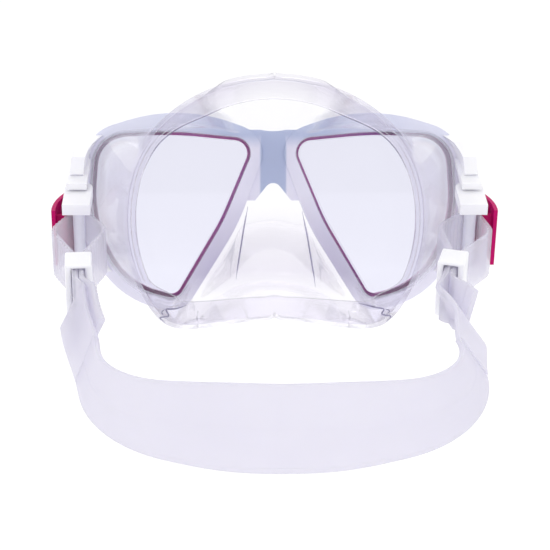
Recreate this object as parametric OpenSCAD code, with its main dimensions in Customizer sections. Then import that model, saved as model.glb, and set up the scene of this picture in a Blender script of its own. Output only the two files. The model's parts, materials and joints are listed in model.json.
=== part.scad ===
// Diving mask: a two-lens mask with a silicone skirt, swivel buckles and a head strap.
// The origin is the centre of the flat front face of the nose bridge. +X is the wearer's
// right, +Y points forward, away from the face, and +Z is up. All sizes are millimetres.

/* [Frame] */
// Thickness of the frame, front to back
frame_depth = 9; // [8.5:0.5:10]
// Height of the bridge mark above the middle of the lenses
lens_drop = 25; // [20:1:27]
// Height of the rim's arched brow over the top of a lens
rim_top = 8.5; // [8:0.1:8.6]
// Width of the rim beside the nose
rim_nose = 6.5; // [6:0.1:6.6]
// Height of the bridge between the two rims
bridge_h = 30; // [27:1:30]

/* [Lenses] */
// Thickness of the glass
glass = 3.5; // [3:0.1:3.6]
// How far the glass reaches under the rim
glass_lap = 2.2; // [1.8:0.1:2.3]
// Thickness of the coloured retaining ring
ring_t = 1.7; // [1.2:0.1:1.8]

/* [Skirt] */
// Thickness of the silicone wall
skirt_t = 2; // [1.6:0.2:2.6]
// Depth of the sealing edge at the forehead, behind the front face
seal_near = 30; // [26:1:34]
// Extra depth of the sealing edge at the temples
seal_wrap = 22; // [16:1:24]
// How far the nose pocket stands in front of the bridge
nose_out = 14; // [10:1:16]

/* [Buckles] */
// Distance of each swivel pin from the middle of the mask, left to right
pivot_x = 80; // [80:0.5:81]
// Distance of the swivel pins behind the front face
pivot_back = 23; // [23:0.5:25]
// Slope of the strap, down from level
strap_tilt = 24; // [22:1:26]
// Radius of the swivel pins
pivot_r = 1.5; // [1.3:0.1:1.6]
// Radius of the roller and lever pins
pin_r = 1; // [0.9:0.1:1]
// Radial clearance between a pin and its bore
pin_gap = 0.05; // [0.03:0.01:0.09]
// Radius of the roller that the strap runs round
roller_r = 2.5; // [2.2:0.1:2.5]

/* [Strap] */
// Thickness of the strap
strap_t = 2.2; // [1.8:0.1:2.2]
// Width of the strap at the buckles
strap_w = 20; // [16:1:20]
// Width of the strap behind the head
band_w = 36; // [30:1:44]
// Distance from the swivel pins to the back of the strap
strap_reach = 157; // [150:1:165]
// Swing of the left strap end towards the head, about its roller
swing_left = 4; // [0:1:12]
// Swing of the right strap end towards the head, about its roller
swing_right = 16; // [0:1:16]

/* [Hidden] */

LEFT = -1;
RIGHT = 1;
eps = 0.05;
big = 400;

// Depths of the stack in each rim, measured from the front face
ring_front = -0.3;
ring_back = ring_front - ring_t;
glass_front = ring_back - eps;
glass_back = glass_front - glass;
bead_front = glass_back - eps;
lip_front = 2 - frame_depth;
bead_back = lip_front + eps;
web_front = -frame_depth - eps;
web_back = web_front - skirt_t;

// Lens outline: circles [x, z, radius] joined by their outer tangents
lens_rounds = [
    [43.5, -29.8, 5],      // lower tip
    [41, -2.6, 32],        // lower outer edge
    [22.3, 9, 54],         // temple side
    [62.5, 20.9, 13],      // upper outer corner
    [46, -115.4, 150],     // brow
    [16.5, 26, 6.4],       // upper inner corner
    [102.2, 37.9, 90]      // nose side
];
lens_top = lens_rounds[4][1] + lens_rounds[4][2];
brow_arch = [41, -27];
rim_widths = [5.8, 6, 6, 5, 0, 5.5, rim_nose];
rim_rounds = [for (i = [0:6])
    i == 4
        ? [brow_arch[0], brow_arch[1], lens_top + rim_top - brow_arch[1]]
        : [lens_rounds[i][0], lens_rounds[i][1], lens_rounds[i][2] + rim_widths[i]]
];
pocket_lap = 2.6;
lip_lap = 0.6;
ring_lap = 2.5;
ring_in = -0.8;
// The outer edge of the front steps back by front_step over the width step_in
front_step = 2.2;
step_in = 1.1;
bridge_half = 12;
bridge_top = 36;
bridge_dip = [0, 60, 24.6];
bridge_cut = 1;
// Underside of the bridge: an arch over the nose, as three circles
nose_arch = [[12, -6, 4], [0, 9.6, 3.8], [-12, -6, 4]];

// Skirt: sealing edge, as the common part of two circles and a lower line
seal_top = [0, -12, 70];
seal_side = [-9.5, 0, 71];
seal_floor = -46.5;
seal_half_w = 61;
seal_blend = 14;
seal_head = 58;
seal_foot = -45.5;
lens_mid = [40, 0];
neck_out = 0.5;
neck_in = -0.9;
bead_lap = 2.4;
web_lap = 2.3;
nose_lap = 7.4;
nose_clear = 0.8;
nose_top_z = 5;
nose_tip_z = -22;
// The fold over the lenses runs level across the bridge within brow_flat of the middle
brow_flat = 20;
brow_fade = [16, 36];
ridge_back = web_front - 0.15;
wall_steps = 7;

// Height of the swivel pins' middle below the middle of the lenses
pivot_drop = 3;

// Buckle, in the swivel pin's own axes: +x outward, +y forward, +z along the pin
half_gap = 12;
plate_h = 4.5;
body_half = half_gap + plate_h;
plate_in = -5;
plate_out = 6.2;
plate_back = -17;
roller_y = -12;
lever_pin_at = [4.6, 3.6];
pin_boss_r = 1.6;
hub_r = 3;
end_gap = 0.3;

// Bracket: two ears, an arm and a pad behind the rim, as ranges across x and z
ear_gap = 0.9;
ear_h = 2.6;
ear_low = body_half + ear_gap;
ear_top = ear_low + ear_h;
ear_back = -4.3;
ear_front = 30;
upper_ear_x = [-3, 5];
lower_ear_x = [-6.2, 4.3];
pad_z = [-24, 4];
pad_t = 1;
pad_laps = [2.9, 8.4];
pad_x = 60;
// Skin that closes the upper ear over the pin, and the room that the buckle swings in
pin_skin = 0.8;
swept_r = 9.6;
// Side view of the arm, as depth and height: a wedge that runs back from the rim
arm_side = [[-8, 34], [-20, 31], [-29, 24.5], [-29, 17.5], [-20, 14.5], [-13, 5], [-8, 2]];

// Release lever: a curved shell on a barrel, with an arm and a pawl that bears on the strap
lever_half = 12.5;
lever_back = -14;
lever_front = 4.8;
lever_swell = [-19, -12, 30];
lever_wall = 1.6;
lever_in = plate_out + 0.6;
window_y = -12;
barrel_r = 2.6;
arm_y = 1.8;
pawl_x = [5.2, 9.6];
pawl_y = [-10.6, -8.8];
pawl_half = 8.8;

// Torsion spring round the lever pin
spring_half = 2.6;
spring_turns = 4;
coil_steps = 16;
wire_r = 0.3;
coil_r = 1.75;
leg_front = 1.2;
leg_back = 6;

// Strap, in the same axes: y runs forward, so the strap lies at -y
loop_y = -25;
loop_r = 8.8;
join_y = -44;
ply_gap = 0.05;
strap_cut = 68;
keeper_front = -49;
keeper_len = 12;
keeper_x = [2.9, 5.2];
keeper_gap = 0.4;
keeper_wall = 1.6;
corner_r = 38;
corner_x = 31;
back_r = 150;
// Where the band starts, starts to widen and is full width, along y
band_from = -50;
widen_from = -118;
widen_to = -158;
band_to = -200;

// ---------- outlines ----------

function clamp1(v) = max(-1, min(1, v));

// Direction of the outward normal where the outer tangent leaves circle a for circle b
function lead(a, b) =
    atan2(b[1] - a[1], b[0] - a[0]) -
    acos(clamp1((a[2] - b[2]) / norm([b[0] - a[0], b[1] - a[1]])));

function turn(a, b) = (((b - a) % 360) + 360) % 360;

// Closed outline round a list of circles in counter-clockwise order, grown by extra
function belt(c, extra = 0, n = 8) =
    let (k = len(c))
    let (g = [for (q = c) [q[0], q[1], q[2] + extra]])
    [for (i = [0:k - 1])
        let (a = lead(g[(i + k - 1) % k], g[i]))
        let (sweep = turn(a, lead(g[i], g[(i + 1) % k])))
        for (j = [0:n])
            [g[i][0] + g[i][2] * cos(a + sweep * j / n), g[i][1] + g[i][2] * sin(a + sweep * j / n)]
    ];

// Distance along a ray from point c at angle phi to the far side of an outline or circle
function ray_outline(poly, c, phi) =
    let (d = [cos(phi), sin(phi)], n = len(poly))
    max([for (i = [0:n - 1])
        let (p = poly[i] - c, e = poly[(i + 1) % n] - poly[i], den = cross(d, e))
        if (abs(den) > 1e-7)
            let (along = cross(p, d) / den)
            if (along > -1e-6 && along < 1 + 1e-6) cross(p, e) / den
    ]);

function ray_circle(q, c, phi) =
    let (f = c - [q[0], q[1]], b = f * [cos(phi), sin(phi)])
    -b + sqrt(b * b - f * f + q[2] * q[2]);

// ---------- placing ----------

module on_side(side) {
    if (side == RIGHT) children();
    else mirror([1, 0, 0]) children();
}

// A flat outline in x and z, as a slab from depth y0 forward to y1, measured at lens height
module slab(y0, y1) {
    translate([0, y1, -lens_drop])
        rotate([90, 0, 0])
            linear_extrude(height = y1 - y0)
                children();
}

module in_strap_plane() {
    translate([0, -pivot_back, -pivot_drop - lens_drop])
        rotate([strap_tilt, 0, 0])
            children();
}

module at_pivot(side) {
    on_side(side) in_strap_plane() translate([pivot_x, 0, 0]) children();
}

module block(x0, x1, y0, y1, z0, z1) {
    translate([x0, y0, z0]) cube([x1 - x0, y1 - y0, z1 - z0]);
}

function swing(side) = side == RIGHT ? swing_right : swing_left;

// Turned inward about the roller, as the strap's end lies
module swung(side) {
    translate([0, roller_y, 0])
        rotate([0, 0, -swing(side)])
            translate([0, -roller_y, 0])
                children();
}

module both_ends() {
    children();
    mirror([0, 0, 1]) children();
}

// Cuts its children off above the height z, so that a bore is closed at the top
module from_below(z) {
    intersection() {
        children();
        block(-big, big, -big, big, -big, z);
    }
}

module rod(r, half) {
    cylinder(r = r, h = 2 * half, center = true, $fn = 48);
}

// ---------- frame and lenses ----------

module rims(cut = 0) {
    for (side = [LEFT, RIGHT])
        on_side(side) polygon(belt(rim_rounds, -cut));
}

module bridge() {
    difference() {
        translate([-bridge_half, bridge_top - bridge_h]) square([2 * bridge_half, bridge_h]);
        polygon(belt(nose_arch));
        translate([bridge_dip[0], bridge_dip[1]]) circle(r = bridge_dip[2], $fn = 96);
    }
}

module frame() {
    color("lavender") difference() {
        union() {
            slab(-frame_depth, -front_step) rims();
            slab(-frame_depth, 0) rims(step_in);
            slab(bridge_cut - frame_depth, 0) bridge();
        }
        for (side = [LEFT, RIGHT]) on_side(side) {
            slab(lip_front, 1) polygon(belt(lens_rounds, pocket_lap));
            slab(-frame_depth - 1, 1) polygon(belt(lens_rounds, lip_lap));
        }
    }
}

module lens(side) {
    color("aliceblue", 0.5)
        on_side(side)
            slab(glass_back, glass_front)
                polygon(belt(lens_rounds, glass_lap));
}

module retainer(side) {
    color("mediumvioletred") on_side(side) difference() {
        slab(ring_back, ring_front) polygon(belt(lens_rounds, ring_lap));
        slab(ring_back - 1, ring_front + 1) polygon(belt(lens_rounds, ring_in));
    }
}

// ---------- skirt ----------

function smooth(v) = let (t = max(0, min(1, v))) t * t * (3 - 2 * t);

function seal_depth(x) = -seal_near - seal_wrap * pow(x / seal_half_w, 2);

// Height of the fold above the lenses, where the forehead wall starts to lean back
function brow_line(x) =
    let (c = lens_rounds[4], r = c[2] + web_lap, u = abs(x))
    let (rise = sqrt(r * r - pow(c[0] - max(u, brow_flat), 2)))
    let (slope = (c[0] - brow_flat) / rise)
    c[1] + rise - (u < brow_flat ? slope * (brow_flat * brow_flat - u * u) / (2 * brow_flat) : 0);

// Depth of the forehead wall at p = [x, z], from y0 at the fold back to the sealing edge
function forehead(p, y0) =
    let (low = brow_line(p[0]), top = seal_top[1] + sqrt(seal_top[2] * seal_top[2] - p[0] * p[0]))
    y0 + (seal_depth(p[0]) - y0) * max(0, min(1, (p[1] - low) / (top - low)));

// Depth of the skirt along the middle plane, from the forehead down over the nose
function ridge(z) =
    z >= nose_top_z
        ? forehead([0, z], ridge_back)
    : z >= nose_tip_z
        ? ridge_back + (nose_out - ridge_back) *
            pow(sin(90 * (nose_top_z - z) / (nose_top_z - nose_tip_z)), 2)
    : nose_out - (nose_out + seal_near) *
        pow((nose_tip_z - z) / (nose_tip_z - seal_foot), 2.5);

head_angle = atan2(seal_head - lens_mid[1], -lens_mid[0]);
foot_angle = atan2(seal_foot - lens_mid[1], -lens_mid[0]);
outer_n = 38;
inner_n = 20;
// Stations round one lens: along the sealing edge, then evenly down the middle plane
stations = concat(
    [for (i = [0:outer_n]) foot_angle + (head_angle - foot_angle) * i / outer_n],
    [for (i = [1:inner_n - 1])
        let (z = seal_head + (seal_foot - seal_head) * i / inner_n)
        turn(0, atan2(z - lens_mid[1], -lens_mid[0]))]
);
station_n = len(stations);

function on_middle(i) = i == 0 || i >= outer_n;
function on_corner(i) = i == 0 || i == outer_n;

function seal_ray(phi) =
    let (low = sin(phi) < -0.05 ? (seal_floor - lens_mid[1]) / sin(phi) : big)
    pow(
        pow(ray_circle(seal_top, lens_mid, phi), -seal_blend) +
        pow(ray_circle(seal_side, lens_mid, phi), -seal_blend) +
        pow(low, -seal_blend),
        -1 / seal_blend
    );

// 1 beside the nose pocket, 0 elsewhere; a is the angle past straight across to the nose
function nose_part(phi) =
    let (a = turn(0, phi) - 180)
    smooth((a + 18) / 14) * smooth((84 - a) / 26);

// Half the width of the nose pocket at height z: it fills the gap between the rims, along
// the nose side's circle and then the straight line to the lower corner
nose_round = lens_rounds[6] + [0, 0, nose_lap + nose_clear];
foot_round = lens_rounds[0] + [0, 0, nose_lap + nose_clear];
nose_lead = lead(nose_round, foot_round);
nose_touch = [for (k = [0:1]) nose_round[k] + nose_round[2] * [cos(nose_lead), sin(nose_lead)][k]];
foot_touch_z = foot_round[1] + foot_round[2] * sin(nose_lead);
function nose_half_w(z) =
    z > nose_touch[1]
        ? nose_round[0] - sqrt(pow(nose_round[2], 2) - pow(nose_round[1] - z, 2))
        : nose_touch[0] + tan(nose_lead) * (nose_touch[1] - max(z, foot_touch_z));

// Depth of the nose pocket's rounded front at the point p = [x, z]
function pocket_depth(p) =
    let (across = min(1, abs(p[0]) / nose_half_w(p[1])))
    ridge_back + (ridge(p[1]) - ridge_back) * pow(1 - across * across, 0.75);

// Depth of the wall at p, a fraction s of the way from y0 at the lens to y1 at its edge:
// straight at the sides, level across the bridge, and pushed forward where the nose pocket is
function wall_depth(p, y0, y1, s) =
    let (side = y0 + (min(y1, y0) - y0) * s)
    let (brow = forehead(p, y0))
    let (part = p[1] > 0 ? smooth((brow_fade[1] - abs(p[0])) / (brow_fade[1] - brow_fade[0])) : 0)
    let (pocket = p[1] < nose_top_z ? y0 + pocket_depth(p) - web_front : -big)
    max(side + (brow - side) * part, pocket);

function at_ray(phi, r) = [lens_mid[0] + r * cos(phi), lens_mid[1] + r * sin(phi)];
function with_depth(p, y) = [p[0], y, p[1] - lens_drop];

out_bead = belt(lens_rounds, bead_lap);
out_neck = belt(lens_rounds, neck_out);
out_hole = belt(lens_rounds, neck_in);
out_web = belt(lens_rounds, web_lap);
out_nose = belt(lens_rounds, nose_lap);

// One closed section of the skirt's wall at station i
function skirt_section(i) =
    let (phi = stations[i])
    let (bead = at_ray(phi, ray_outline(out_bead, lens_mid, phi)))
    let (neck = at_ray(phi, ray_outline(out_neck, lens_mid, phi)))
    let (hole = at_ray(phi, ray_outline(out_hole, lens_mid, phi)))
    let (narrow = ray_outline(out_web, lens_mid, phi))
    let (wide = ray_outline(out_nose, lens_mid, phi))
    let (web_r = narrow + (wide - narrow) * nose_part(phi))
    let (web = at_ray(phi, web_r))
    let (web_in = at_ray(phi, web_r - skirt_t / 2))
    let (edge_z = lens_mid[1] - lens_mid[0] * tan(phi))
    let (edge = on_middle(i) ? [0, edge_z] : at_ray(phi, seal_ray(phi)))
    let (edge_y = on_middle(i) ? ridge(edge_z) : seal_depth(edge[0]))
    let (edge_in = on_corner(i)
        ? [0, edge_z - sign(edge_z) * skirt_t]
        : on_middle(i) ? edge : at_ray(phi, seal_ray(phi) - skirt_t))
    let (back_shift = on_middle(i) && !on_corner(i) ? skirt_t : 0)
    concat(
        [
            with_depth(bead, bead_front),
            with_depth(bead, bead_back),
            with_depth(neck, bead_back),
            with_depth(neck, web_front),
            with_depth(web, web_front)
        ],
        [for (k = [1:wall_steps]) let (s = k / wall_steps)
            let (p = web + (edge - web) * s)
            with_depth(p, s == 1 ? edge_y : wall_depth(p, web_front, edge_y, s))],
        [for (k = [wall_steps:-1:1]) let (s = k / wall_steps)
            let (p = web_in + (edge_in - web_in) * s)
            with_depth(p, s == 1 ? edge_y - back_shift : wall_depth(p, web_back, edge_y, s))],
        [
            with_depth(web_in, web_back),
            with_depth(hole, web_back),
            with_depth(hole, bead_front)
        ]
    );

half_points = [for (i = [0:station_n - 1]) for (p = skirt_section(i)) p];
ring_n = 8 + 2 * wall_steps;
edge_a = 4 + wall_steps;
edge_b = edge_a + 1;

// The two halves share the points that lie on the middle plane
function shared(i, j) = on_middle(i) && (j == edge_a || j == edge_b);
function right_at(i, j) = (i % station_n) * ring_n + (j % ring_n);
function left_at(i, j) =
    shared(i % station_n, j % ring_n)
        ? right_at(i, j)
        : station_n * ring_n + right_at(i, j);

right_faces = [
    for (i = [0:station_n - 1]) for (j = [0:ring_n - 1])
        if (!(shared(i, j) && shared((i + 1) % station_n, j) && j == edge_a))
            for (t = [0:1])
                t == 0
                    ? [right_at(i, j), right_at(i + 1, j), right_at(i + 1, j + 1)]
                    : [right_at(i, j), right_at(i + 1, j + 1), right_at(i, j + 1)]
];
left_faces = [
    for (i = [0:station_n - 1]) for (j = [0:ring_n - 1])
        if (!(shared(i, j) && shared((i + 1) % station_n, j) && j == edge_a))
            for (t = [0:1])
                t == 0
                    ? [left_at(i, j), left_at(i + 1, j + 1), left_at(i + 1, j)]
                    : [left_at(i, j), left_at(i, j + 1), left_at(i + 1, j + 1)]
];

module skirt() {
    color("ghostwhite", 0.6)
        polyhedron(
            points = concat(half_points, [for (p = half_points) [-p[0], p[1], p[2]]]),
            faces = concat(right_faces, left_faces)
        );
}

// ---------- brackets and buckles ----------

// Band outside the lens outline that the bracket follows, seen from the front
module bracket_band(zs) {
    intersection() {
        difference() {
            polygon(belt(lens_rounds, pad_laps[1]));
            polygon(belt(lens_rounds, pad_laps[0]));
        }
        translate([pad_x, zs[0]]) square([big, zs[1] - zs[0]]);
    }
}

module bracket_arm() {
    intersection() {
        slab(arm_side[2][0], web_front) bracket_band([0, big]);
        translate([0, 0, -lens_drop])
            rotate([90, 0, 90])
                linear_extrude(height = big)
                    polygon(arm_side);
    }
}

module ear(xs, z0) {
    block(xs[0], xs[1], ear_back, ear_front, z0, z0 + ear_h);
}

module bracket(side) {
    color("white") difference() {
        union() {
            on_side(side) bracket_arm();
            on_side(side) slab(web_front - pad_t, web_front) bracket_band(pad_z);
            at_pivot(side) ear(upper_ear_x, ear_low);
            at_pivot(side) ear(lower_ear_x, -ear_top);
        }
        at_pivot(side) from_below(ear_top - pin_skin) rod(pivot_r + pin_gap, ear_top + 1);
        at_pivot(side) rod(swept_r, ear_low);
        slab(web_front, 100) square(big, center = true);
        on_side(side)
            slab(web_back - ear_gap, 0)
                polygon(belt(lens_rounds, web_lap + ear_gap / 2));
    }
}

module pivot_pin(side) {
    color("gainsboro") at_pivot(side) from_below(ear_top - pin_skin - pin_gap) rod(pivot_r, ear_top);
}

module buckle_plate() {
    linear_extrude(height = plate_h) {
        translate([plate_in, plate_back]) square([plate_out - plate_in, 1 - plate_back]);
        circle(r = -plate_in, $fn = 64);
        translate(lever_pin_at) circle(r = pin_boss_r, $fn = 48);
        square([lever_pin_at[0], lever_pin_at[1] + pin_boss_r - eps]);
    }
}

module buckle_body(side) {
    color("white") at_pivot(side) difference() {
        union() {
            both_ends() translate([0, 0, half_gap]) buckle_plate();
            rod(hub_r, half_gap + 1);
        }
        rod(pivot_r + pin_gap, body_half + 1);
        for (place = [[0, roller_y], lever_pin_at])
            translate(place)
                from_below(body_half - pin_skin)
                    rod(pin_r + pin_gap, body_half + 1);
    }
}

module roller(side) {
    color("ghostwhite") at_pivot(side) translate([0, roller_y, 0]) difference() {
        rod(roller_r, half_gap - end_gap);
        rod(pin_r + pin_gap, half_gap);
    }
}

module captive_pin() {
    from_below(body_half - pin_skin - pin_gap) rod(pin_r, body_half);
}

module roller_pin(side) {
    color("silver") at_pivot(side) translate([0, roller_y, 0]) captive_pin();
}

module lever_pin(side) {
    color("silver") at_pivot(side) translate(lever_pin_at) captive_pin();
}

module swell(cut) {
    translate([lever_swell[0], lever_swell[1]])
        circle(r = lever_swell[2] - cut, $fn = 180);
}

// Outline of the lever inside its curved outer face
module lever_plan(y0, y1, cut = 0) {
    intersection() {
        swell(cut);
        translate([lever_in, y0]) square([lever_swell[2], y1 - y0]);
    }
}

// The shell is open at both ends, with one rib across its middle
module release_lever(side) {
    inner = half_gap - end_gap;
    color("mediumvioletred") at_pivot(side) difference() {
        union() {
            difference() {
                linear_extrude(height = 2 * lever_half, center = true)
                    lever_plan(lever_back, lever_front);
                both_ends()
                    translate([0, 0, lever_wall / 2])
                        linear_extrude(height = lever_half)
                            lever_plan(lever_back - 1, 0, lever_wall);
                linear_extrude(height = 2 * inner, center = true)
                    lever_plan(lever_back - 1, window_y, lever_wall);
            }
            translate(lever_pin_at) rod(barrel_r, inner);
            block(lever_pin_at[0], lever_in + 0.6, arm_y, lever_front, -inner, inner);
            block(pawl_x[0], pawl_x[1], pawl_y[0], pawl_y[1], -pawl_half, pawl_half);
        }
        translate(lever_pin_at) rod(pin_r + pin_gap, lever_half);
        translate(lever_pin_at) rod(barrel_r + 0.2, spring_half);
    }
}

// ---------- spring ----------

spring_pitch = 2 * (spring_half - wire_r - end_gap) / spring_turns;

// Centre line of the torsion spring: a straight leg, the coil and a second leg
function spring_path() =
    let (n = spring_turns * coil_steps, low = -spring_pitch * spring_turns / 2)
    concat(
        [for (k = [3:-1:1]) [coil_r, -leg_back * k / 3, low]],
        [for (i = [0:n])
            let (a = 360 * i / coil_steps)
            [coil_r * cos(a), coil_r * sin(a), low + spring_pitch * i / coil_steps]],
        [for (k = [1:2]) [coil_r - k * leg_front / 3, leg_front * k, -low]]
    );

function unit(v) = v / norm(v);

// A round wire of radius r along a path that is never vertical
module wire(path, r, sides = 6) {
    n = len(path);
    rings = [for (i = [0:n - 1])
        let (t = unit(path[min(i + 1, n - 1)] - path[max(i - 1, 0)]))
        let (across = unit(cross(t, [0, 0, 1])))
        let (up = cross(across, t))
        for (k = [0:sides - 1])
            path[i] + r * (cos(360 * k / sides) * across + sin(360 * k / sides) * up)
    ];
    walls = [for (i = [0:n - 2]) for (k = [0:sides - 1]) for (t = [0:1])
        let (a = i * sides + k, b = i * sides + (k + 1) % sides)
        t == 0 ? [a, b, b + sides] : [a, b + sides, a + sides]
    ];
    caps = [
        [for (k = [sides - 1:-1:0]) k],
        [for (k = [0:sides - 1]) (n - 1) * sides + k]
    ];
    polyhedron(points = rings, faces = concat(walls, caps));
}

module lever_spring(side) {
    color("silver") at_pivot(side) translate(lever_pin_at) wire(spring_path(), wire_r);
}

// ---------- strap ----------

loop_rounds = [
    [0, roller_y, roller_r + 0.1],
    [0, loop_y, loop_r],
    [0, join_y, 0.05]
];
// Circles in counter-clockwise order: roller, then the swell, the join and the swell again
loop_belt = [loop_rounds[0], loop_rounds[1], loop_rounds[2], loop_rounds[1]];

// One layer of the doubled strap behind the loop, on the outward (1) or inward (-1) side
module ply(way, reach) {
    translate([way > 0 ? ply_gap : -ply_gap - strap_t, -reach])
        square([strap_t, reach + join_y - 1]);
}

// outer is the side on which the long run lies: 1 outward of the tail, -1 inward of it
module strap_end(side, outer) {
    color("aliceblue") at_pivot(side) intersection() {
        swung(side) linear_extrude(height = strap_w, center = true) union() {
            difference() {
                polygon(belt(loop_belt, strap_t, 10));
                polygon(belt(loop_belt, 0, 10));
            }
            ply(outer, strap_cut + 2);
            ply(-outer, strap_cut - 1.5);
        }
        rod(strap_cut - 0.5, strap_w);
    }
}

ply_mid = ply_gap + strap_t / 2;
front_r = 6;
// Where each strap end hands over to the band; outer is as in strap_end
function handover(side, outer) =
    [pivot_x - (strap_cut + roller_y) * sin(swing(side)) + outer * ply_mid,
        roller_y - (strap_cut + roller_y) * cos(swing(side))];
right_start = handover(RIGHT, -1);
left_start = handover(LEFT, 1);
back_y = back_r - strap_reach;
corner_y = back_y - sqrt(pow(back_r - corner_r, 2) - corner_x * corner_x);
band_rounds = [
    [right_start[0] - front_r, right_start[1] + front_r / 2, front_r],
    [front_r - left_start[0], left_start[1] + front_r / 2, front_r],
    [-corner_x, corner_y, corner_r],
    [0, back_y, back_r],
    [corner_x, corner_y, corner_r]
];

// Side view of the band: it widens from the buckles to the back of the head
module band_side() {
    half_w = strap_w / 2;
    half_band = band_w / 2;
    polygon([
        [band_from, -half_w],
        [band_from, half_w],
        [widen_from, half_w],
        [widen_to, half_band],
        [band_to, half_band],
        [band_to, -half_band],
        [widen_to, -half_band],
        [widen_from, -half_w]
    ]);
}

module strap_band() {
    color("aliceblue") in_strap_plane() difference() {
        intersection() {
            linear_extrude(height = band_w, center = true) difference() {
                polygon(belt(band_rounds, strap_t / 2, 12));
                polygon(belt(band_rounds, -strap_t / 2, 12));
            }
            rotate([90, 0, 90])
                linear_extrude(height = big, center = true)
                    band_side();
        }
        for (side = [LEFT, RIGHT])
            translate([side * pivot_x, 0, 0])
                cylinder(r = strap_cut, h = band_w + 2, center = true, $fn = 128);
        block(-strap_cut, strap_cut, -strap_cut, 0, -band_w, band_w);
    }
}

module keeper(side) {
    half_w = strap_w / 2 + keeper_gap;
    half_out = half_w + keeper_wall;
    color("white") at_pivot(side) swung(side) difference() {
        block(-keeper_x[1], keeper_x[1], keeper_front - keeper_len, keeper_front, -half_out, half_out);
        block(-keeper_x[0], keeper_x[0], keeper_front - keeper_len - 1, keeper_front + 1, -half_w, half_w);
    }
}

frame();
lens(LEFT);  // lens_left
lens(RIGHT);  // lens_right
retainer(LEFT);  // retainer_left
retainer(RIGHT);  // retainer_right
skirt();
bracket(LEFT);  // bracket_left
bracket(RIGHT);  // bracket_right
pivot_pin(LEFT);  // pivot_pin_left
pivot_pin(RIGHT);  // pivot_pin_right
buckle_body(LEFT);  // buckle_body_left
buckle_body(RIGHT);  // buckle_body_right
roller(LEFT);  // roller_left
roller(RIGHT);  // roller_right
roller_pin(LEFT);  // roller_pin_left
roller_pin(RIGHT);  // roller_pin_right
release_lever(LEFT);  // release_lever_left
release_lever(RIGHT);  // release_lever_right
lever_pin(LEFT);  // lever_pin_left
lever_pin(RIGHT);  // lever_pin_right
lever_spring(LEFT);  // lever_spring_left
lever_spring(RIGHT);  // lever_spring_right
strap_end(LEFT, 1);  // strap_end_left
strap_end(RIGHT, -1);  // strap_end_right
strap_band();
keeper(LEFT);  // keeper_left
keeper(RIGHT);  // keeper_right
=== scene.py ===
import json
import math

import bmesh
import bpy
import numpy as np
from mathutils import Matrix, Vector
from mathutils.bvhtree import BVHTree


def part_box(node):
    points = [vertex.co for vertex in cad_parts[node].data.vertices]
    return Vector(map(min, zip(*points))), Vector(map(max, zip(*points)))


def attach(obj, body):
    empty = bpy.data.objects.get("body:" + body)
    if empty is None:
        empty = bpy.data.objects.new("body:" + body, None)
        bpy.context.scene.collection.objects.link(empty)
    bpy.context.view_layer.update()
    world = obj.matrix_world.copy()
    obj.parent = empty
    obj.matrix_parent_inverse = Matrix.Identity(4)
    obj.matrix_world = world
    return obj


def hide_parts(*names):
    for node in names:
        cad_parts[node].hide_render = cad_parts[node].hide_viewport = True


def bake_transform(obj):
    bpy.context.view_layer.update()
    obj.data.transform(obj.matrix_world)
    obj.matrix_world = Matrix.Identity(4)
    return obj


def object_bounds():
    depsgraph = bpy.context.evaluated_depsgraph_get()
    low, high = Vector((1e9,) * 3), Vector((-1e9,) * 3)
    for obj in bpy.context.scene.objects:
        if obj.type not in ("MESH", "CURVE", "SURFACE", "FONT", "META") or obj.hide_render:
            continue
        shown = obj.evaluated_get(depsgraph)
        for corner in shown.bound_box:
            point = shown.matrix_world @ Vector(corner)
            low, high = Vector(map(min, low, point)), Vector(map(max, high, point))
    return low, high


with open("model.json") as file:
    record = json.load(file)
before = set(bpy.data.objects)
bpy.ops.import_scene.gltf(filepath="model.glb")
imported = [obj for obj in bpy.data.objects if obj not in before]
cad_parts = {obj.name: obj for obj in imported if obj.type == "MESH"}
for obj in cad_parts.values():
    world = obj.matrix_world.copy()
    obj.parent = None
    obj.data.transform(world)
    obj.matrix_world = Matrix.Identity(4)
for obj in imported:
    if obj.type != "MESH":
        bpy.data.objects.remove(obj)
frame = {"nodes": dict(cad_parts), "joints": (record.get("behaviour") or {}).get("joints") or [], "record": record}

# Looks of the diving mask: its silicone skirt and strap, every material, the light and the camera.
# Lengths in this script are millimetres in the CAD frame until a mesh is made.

MM = 0.001
CAD_BOX = [list(corner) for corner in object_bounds()]
SIDES = {"left": -1, "right": 1}

# ---------- sizes, worked out from the frame ----------

GLASS_LAP = 2.2
LENS_TO_LOWEST = 34.8 + GLASS_LAP


def low_corner(node):
    return np.array(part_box(node)[0]) / MM


def high_corner(node):
    return np.array(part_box(node)[1]) / MM


LENS_Z = low_corner("lens_right")[2] + LENS_TO_LOWEST
FRAME_BACK = low_corner("frame")[1]

swivel = next(j for j in frame["joints"] if j["name"] == "buckle_swivel_right")
PIVOT = np.array(swivel["pos_m"]) / MM
UP_STRAP = np.array(swivel["axis"], float)
BACK_STRAP = np.array([0.0, -UP_STRAP[2], UP_STRAP[1]])

# Lens outline: circles x, z, radius joined by their outer tangents, z from the lens middle
LENS_ROUNDS = [
    (43.5, -29.8, 5.0), (41.0, -2.6, 32.0), (22.3, 9.0, 54.0), (62.5, 20.9, 13.0),
    (46.0, -115.4, 150.0), (16.5, 26.0, 6.4), (102.2, 37.9, 90.0),
]
FOOT_ROUND, BROW_ROUND, NOSE_ROUND = (LENS_ROUNDS[k] for k in (0, 4, 6))
LENS_MID = np.array([40.0, 0.0])


def lead(a, b):
    gap = math.hypot(b[0] - a[0], b[1] - a[1])
    return math.atan2(b[1] - a[1], b[0] - a[0]) - math.acos(max(-1.0, min(1.0, (a[2] - b[2]) / gap)))


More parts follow.
